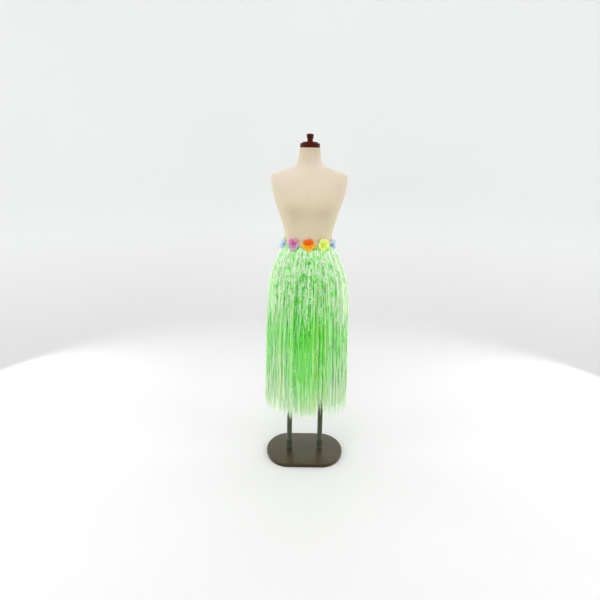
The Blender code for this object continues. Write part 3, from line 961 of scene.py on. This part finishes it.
class SKIRT_OT_flowers(bpy.types.Operator):
    """Makes the cloth flowers round the band"""

    bl_idname = "skirt.flowers"
    bl_label = "Make the Flowers"

    def execute(self, context):
        settings = context.scene.skirt_flowers
        surfaces = {}
        for kind in FLOWER_COLOURS:
            colours = [tuple(getattr(settings, f"{kind}_{part}")) for part in FLOWER_PARTS]
            surfaces[kind] = petal_material(f"{kind}_petals", *colours)
        order = list(FLOWER_COLOURS)
        section = section_at(FORM, BAND_MIDDLE)
        out = BAND_FIT + BAND_THICKNESS + SEAM_GAP
        for number, angle in enumerate(even_angles(section, FLOWERS)):
            chance = random.Random(40 + number)
            step = number if number <= FLOWERS // 2 else number - FLOWERS
            kind = order[step % len(order)]
            away = outward_at(section, angle)
            beside = smooth_share(math.cos(angle), -0.1, 0.1) * smooth_share(abs(math.sin(angle)), 0.8, 0.95)
            away.rotate(Matrix.Rotation(math.copysign(FACE_FRONT, -away.x) * beside, 3, "Z"))
            up = Vector((0, 0, 1))
            spot = ring_point(section, angle, out) - up * (SIDE_DROP * beside)
            place = facing(up.cross(away), up, away, spot)
            shape = self.flower(settings, chance)
            bmesh.ops.transform(shape, verts=shape.verts, matrix=place)
            name = f"{number + 1}"
            piece = piece_from(f"flower_cloth_{name}", shape, surfaces[kind], (f"flower_{name}",))
            wall = piece.modifiers.new("cloth", "SOLIDIFY")
            wall.thickness = 0.00045
            wall.offset = 0.0
        return {"FINISHED"}

    def flower(self, settings, chance):
        """A flower facing +Z with +Y up: five large petals, five small ones and stamens."""
        shape = bmesh.new()
        layers = [shape.verts.layers.float.new(name) for name in ("radial", "upper", "across")]
        roll = chance.gauss(0, 0.10)
        for petal in range(5):
            turn = math.pi + roll + math.tau * petal / 5
            self.petal(shape, layers, turn, settings.radius, settings.cup, 0.0012, chance)
        for petal in range(5):
            turn = roll + math.tau * petal / 5
            self.petal(shape, layers, turn, settings.inner_radius, settings.cup * 0.95, 0.0030, chance)
        self.stamens(shape, layers, chance)
        return shape

    def petal(self, shape, layers, turn, radius, cup, lift, chance):
        """One petal: narrow at the heart, widest two thirds out and round at its ruffled tip."""
        radial, upper, side = layers
        made = bmesh.ops.create_grid(shape, x_segments=9, y_segments=9, size=0.5)["verts"]
        ruffle, start = chance.uniform(0.0008, 0.0018), chance.uniform(0, math.tau)
        reach = radius * chance.uniform(0.93, 1.0)
        aim = Matrix.Rotation(-turn, 3, "Z")
        for vert in made:
            across, share = 2 * vert.co.x, vert.co.y + 0.5
            out = 0.08 + 0.905 * share
            if out < PETAL_WIDEST:
                half = 0.14 + 0.32 * smooth_share(out, 0.0, PETAL_WIDEST)
            else:
                half = 0.46 * math.sqrt(1 - ((out - PETAL_WIDEST) / (1 - PETAL_WIDEST)) ** 2)
            height = lift + cup * out**1.35 + 0.0013 * across * out
            height += ruffle * out**2 * math.sin(2.6 * math.pi * across + start) - 0.0022 * across**2 * out
            height -= 0.0026 * smooth_share(out, 0.74, 1.0)
            dent = 0.04 * math.exp(-((across / 0.3) ** 2)) * smooth_share(out, 0.8, 1.0)
            vert.co = aim @ Vector((half * across * reach, (out - dent) * reach, height))
            vert[radial] = out
            vert[upper] = 0.5 + 0.5 * vert.co.y / max(vert.co.xy.length, 1e-6)
            vert[side] = across

    def stamens(self, shape, layers, chance):
        for i in range(7):
            turn = math.tau * i / 7 + chance.uniform(-0.2, 0.2)
            lean = 0.32 if i else 0.0
            stalk = Matrix.Rotation(turn, 4, "Z") @ Matrix.Rotation(lean, 4, "X")
            length = 0.0085 * chance.uniform(0.85, 1.1)
            made = bmesh.ops.create_cone(
                shape, cap_ends=True, segments=6, radius1=0.0006, radius2=0.0004, depth=length
            )["verts"]
            bmesh.ops.translate(shape, verts=made, vec=(0, 0, length / 2 + 0.002))
            tip = bmesh.ops.create_icosphere(shape, subdivisions=1, radius=0.0011)["verts"]
            bmesh.ops.translate(shape, verts=tip, vec=(0, 0, length + 0.002))
            bmesh.ops.transform(shape, verts=made + tip, matrix=stalk)


class SKIRT_OT_form(bpy.types.Operator):
    """Covers the dress form in linen, smoother than its solid, and trims its neck"""

    bl_idname = "skirt.form"
    bl_label = "Cover the Form"

    def execute(self, context):
        settings = context.scene.skirt_form
        shape = bmesh.new()
        shape.from_mesh(frame["nodes"]["dress_form"].data)
        bmesh.ops.remove_doubles(shape, verts=shape.verts, dist=1e-5)
        flat, square = math.radians(35), math.radians(60)
        bmesh.ops.join_triangles(
            shape, faces=shape.faces, angle_face_threshold=flat, angle_shape_threshold=square
        )
        crease = shape.edges.layers.float.new("crease_edge")
        low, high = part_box("dress_form")
        creases = ((low[2], 0.9), (SHOULDER_EDGE, 0.6), (high[2], 0.9))
        for edge in shape.edges:
            for height, sharpness in creases:
                if all(abs(vert.co.z - height) < 0.0005 for vert in edge.verts):
                    edge[crease] = sharpness
        surface = linen_material(settings)
        cover = piece_from("linen_form", shape, surface, ("dress_form",), math.radians(60))
        smoother = cover.modifiers.new("smoother", "SUBSURF")
        smoother.levels = smoother.render_levels = 2
        top = high[2] - 0.0022
        profile = arc(PIPING_RADIUS, 0.0, PIPING_THICKNESS, -180, 180, 12)
        ring = turned(profile, Vector((0, 0, top)))
        piping = tape_material("neck_piping", settings.piping, 0.0006)
        piece_from("neck_piping", ring, piping)
        return {"FINISHED"}


class SKIRT_OT_cap(bpy.types.Operator):
    """Turns the neck's wooden cap and its knob"""

    bl_idname = "skirt.cap"
    bl_label = "Turn the Cap"

    def execute(self, context):
        surface = wood_material(context.scene.skirt_form)
        foot, (width, _, height) = foot_and_size(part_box("neck_cap"))
        radius, step = width / 2, CAP_STEP_RADIUS
        profile = [(0.0, 0.0), (radius - 0.001, 0.0)]
        profile += arc(radius - 0.0012, 0.0012, 0.0012, -90, 0)
        profile += arc(radius - 0.0030, 0.0165, 0.0030, 0, 90)
        profile += [(step + 0.0016, 0.0197)]
        profile += arc(step - 0.0028, height - 0.0036, 0.0028, 0, 90)
        profile += [(0.016, height - 0.0002), (0.0, height)]
        piece_from("wooden_cap", turned(profile, foot), surface, ("neck_cap",))
        knob_foot, (width, _, tall) = foot_and_size(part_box("neck_knob"))
        foot.z, widest = knob_foot.z, width / 2
        profile = [(0.0, 0.0), (0.0136, 0.0), (0.0139, 0.0012), (0.0132, 0.0028)]
        profile.append((KNOB_NECK_RADIUS, KNOB_NECK_TOP))
        for k in range(1, 9):
            swell = (widest - KNOB_NECK_RADIUS) * smooth_share(k / 8, 0, 1)
            profile.append((KNOB_NECK_RADIUS + swell, KNOB_NECK_TOP + 0.0225 * (k / 8)))
        rounding = tall - KNOB_WIDEST_HEIGHT
        for k in range(1, 10):
            turn = math.radians(10 * k)
            height = KNOB_WIDEST_HEIGHT + rounding * math.sin(turn)
            profile.append((widest * math.cos(turn) ** 0.6, height))
        piece_from("wooden_knob", turned(profile, foot), surface, ("neck_knob",))
        return {"FINISHED"}


class SKIRT_OT_stand(bpy.types.Operator):
    """Makes the painted base plate and its two posts"""

    bl_idname = "skirt.stand"
    bl_label = "Make the Stand"

    def execute(self, context):
        settings = context.scene.skirt_stand
        # The posts' paint, with a green tint that is a painted reflection of the skirt
        surface = paint_material("post_paint", settings.post, settings.worn_post)
        for side in ("left", "right"):
            foot, (width, _, tall) = foot_and_size(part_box(f"post_{side}"))
            socket, tube, lip = width / 2, POST_RADIUS, SOCKET_HEIGHT
            profile = [(0.0, 0.0), (socket, 0.0), (socket, 0.002)]
            profile += [(socket - 0.0004, 0.0026), (socket - 0.0004, 0.038)]
            profile += arc(socket - 0.0010, 0.0395, 0.0010, -40, 0, 3)
            profile += arc(socket - 0.0012, lip - 0.0012, 0.0012, 0, 90)
            profile += [(tube + 0.0002, lip), (tube, lip + 0.0006), (tube, tall - 0.0005)]
            profile += [(tube - 0.0005, tall), (0.0, tall)]
            shape = turned(profile, foot, 48)
            piece_from(f"steel_post_{side}", shape, surface, (f"post_{side}",))
        self.plate(paint_material("plate_paint", settings.paint, settings.worn))
        return {"FINISHED"}

    def plate(self, surface):
        width, depth, thickness = foot_and_size(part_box("base_plate"))[1]
        reach = (width - PLATE_STRAIGHT) / 2
        shape = bmesh.new()
        verts = []
        for side in (1, -1):
            for i in range(49):
                a = math.pi * (i / 48 - 0.5)
                x = side * (PLATE_STRAIGHT / 2 + reach * math.cos(a))
                verts.append(shape.verts.new((x, side * depth / 2 * math.sin(a), 0.0)))
        face = shape.faces.new(verts)
        made = bmesh.ops.extrude_face_region(shape, geom=[face])["geom"]
        top = [item for item in made if isinstance(item, bmesh.types.BMVert)]
        bmesh.ops.translate(shape, verts=top, vec=(0, 0, thickness))
        for height, size in ((thickness, 0.003), (0.0, 0.001)):
            rim = [e for e in shape.edges if all(abs(v.co.z - height) < 1e-6 for v in e.verts)]
            bmesh.ops.bevel(
                shape, geom=rim, offset=size, segments=4, profile=0.5, affect="EDGES", material=-1
            )
        bmesh.ops.recalc_face_normals(shape, faces=shape.faces)
        piece_from("steel_plate", shape, surface, ("base_plate",))


class SKIRT_OT_stage(bpy.types.Operator):
    """Sets the pale round backdrop, the soft lights and the camera"""

    bl_idname = "skirt.stage"
    bl_label = "Set the Stage"

    def execute(self, context):
        settings = context.scene.skirt_stage
        self.backdrop(settings)
        self.lights(context.scene)
        self.camera(context.scene)
        context.scene.view_settings.view_transform = "Standard"
        # Light passes through and between many strands before it comes out again
        cycles = context.scene.cycles
        cycles.max_bounces, cycles.diffuse_bounces, cycles.transmission_bounces = 24, 12, 16
        return {"FINISHED"}

    def backdrop(self, settings):
        surface, tree, shader = new_material("pale_backdrop")
        place = object_place(tree)
        colour = mixed(between(parts(place)[2], 0.02, 0.7), settings.floor, settings.pale)
        colour = mixed(cloudiness(place, 0.8) * 0.02, colour, (0.5, 0.5, 0.5))
        set_inputs(shader, {"Base Color": colour, "Roughness": 0.7, "Specular IOR Level": 0.2})
        level = settings.reach - BACKDROP_SWEEP
        profile = [(0.0, 0.0), (level, 0.0)]
        profile += arc(level, BACKDROP_SWEEP, BACKDROP_SWEEP, -90, 0, 16)
        profile += [(settings.reach, 3.4)]
        shape = turned(profile, Vector((0, 0, 0)), 96)
        bmesh.ops.reverse_faces(shape, faces=shape.faces)
        backdrop = object_from("backdrop", shape, surface)
        backdrop.visible_glossy = False

    def lights(self, scene):
        # The room is white, and in reflections it is dimmer where the camera stands
        world = bpy.data.worlds.new("soft_studio")
        world.use_nodes = True
        tree = world.node_tree
        along = parts(Value(put(tree, "ShaderNodeTexCoord"), "Generated"))[1]
        reflected = Value(put(tree, "ShaderNodeLightPath"), "Is Glossy Ray")
        strength = 1.23 - reflected * between(along, 0.3, -0.7, 0.0, 0.7)
        set_inputs(tree.nodes["Background"], {"Color": (1.0, 1.0, 1.0, 1.0), "Strength": strength})
        scene.world = world
        for name, place, width, height, power in (
            ("top_softbox", (-0.2, -1.3, 3.2), 1.0, 1.0, 14.4),
            ("left_softbox", (-2.3, -1.1, 1.4), 0.7, 1.6, 17.4),
            ("right_softbox", (2.3, -1.1, 1.4), 0.7, 1.6, 15.6),
            ("left_rim_strip", (-2.0, 1.0, 1.0), 0.35, 1.7, 11.0),
            ("right_rim_strip", (2.0, 1.0, 1.0), 0.35, 1.7, 11.0),
            ("back_softbox", (0.3, 2.2, 2.6), 1.8, 1.8, 7.2),
        ):
            light = bpy.data.lights.new(name, "AREA")
            light.shape = "RECTANGLE"
            light.size, light.size_y, light.energy = width, height, power
            lamp = linked(bpy.data.objects.new(name, light))
            lamp.location = place
            aim = Vector((0, 0, 0.85)) - Vector(place)
            lamp.rotation_mode = "QUATERNION"
            lamp.rotation_quaternion = aim.to_track_quat("-Z", "Y")

    def camera(self, scene):
        lens = bpy.data.cameras.new("camera")
        lens.lens = CAMERA_LENS
        lens.sensor_width = 36.0
        lens.shift_y = CAMERA_SHIFT
        camera = linked(bpy.data.objects.new("camera", lens))
        low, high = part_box("post_left")
        posts = (low[1] + high[1]) / 2
        tilt = Matrix.Rotation(math.pi / 2 - CAMERA_PITCH, 4, "X") @ Matrix.Rotation(CAMERA_ROLL, 4, "Z")
        camera.matrix_world = Matrix.Translation((CAMERA_SIDE, posts - CAMERA_DISTANCE, CAMERA_HEIGHT)) @ tilt
        scene.camera = camera


OPERATORS = (
    SKIRT_OT_stand,
    SKIRT_OT_form,
    SKIRT_OT_cap,
    SKIRT_OT_grass,
    SKIRT_OT_flowers,
    SKIRT_OT_waistband,
    SKIRT_OT_stage,
)


class SKIRT_PT_panel(bpy.types.Panel):
    """Lists the pieces of the skirt and its stand"""

    bl_idname = "SKIRT_PT_panel"
    bl_label = "Grass Skirt"
    bl_space_type = "VIEW_3D"
    bl_region_type = "UI"
    bl_category = "Grass Skirt"

    def draw(self, context):
        for name, group in SETTINGS:
            box = self.layout.box()
            for setting in group.__annotations__:
                box.prop(getattr(context.scene, name), setting)
        for operator in OPERATORS:
            self.layout.operator(operator.bl_idname)


SETTINGS = (
    ("skirt_stand", StandSettings),
    ("skirt_form", FormSettings),
    ("skirt_grass", GrassSettings),
    ("skirt_flowers", FlowerSettings),
    ("skirt_band", BandSettings),
    ("skirt_stage", StageSettings),
)
CLASSES = (*(group for _, group in SETTINGS), *OPERATORS, SKIRT_PT_panel)


def register():
    for item in CLASSES:
        bpy.utils.register_class(item)
    for name, group in SETTINGS:
        setattr(bpy.types.Scene, name, PointerProperty(type=group))


def unregister():
    for name, _ in SETTINGS:
        delattr(bpy.types.Scene, name)
    for item in reversed(CLASSES):
        bpy.utils.unregister_class(item)


def main():
    register()
    for operator in OPERATORS:
        group, name = operator.bl_idname.split(".")
        getattr(getattr(bpy.ops, group), name)()


if __name__ == "__main__":
    main()
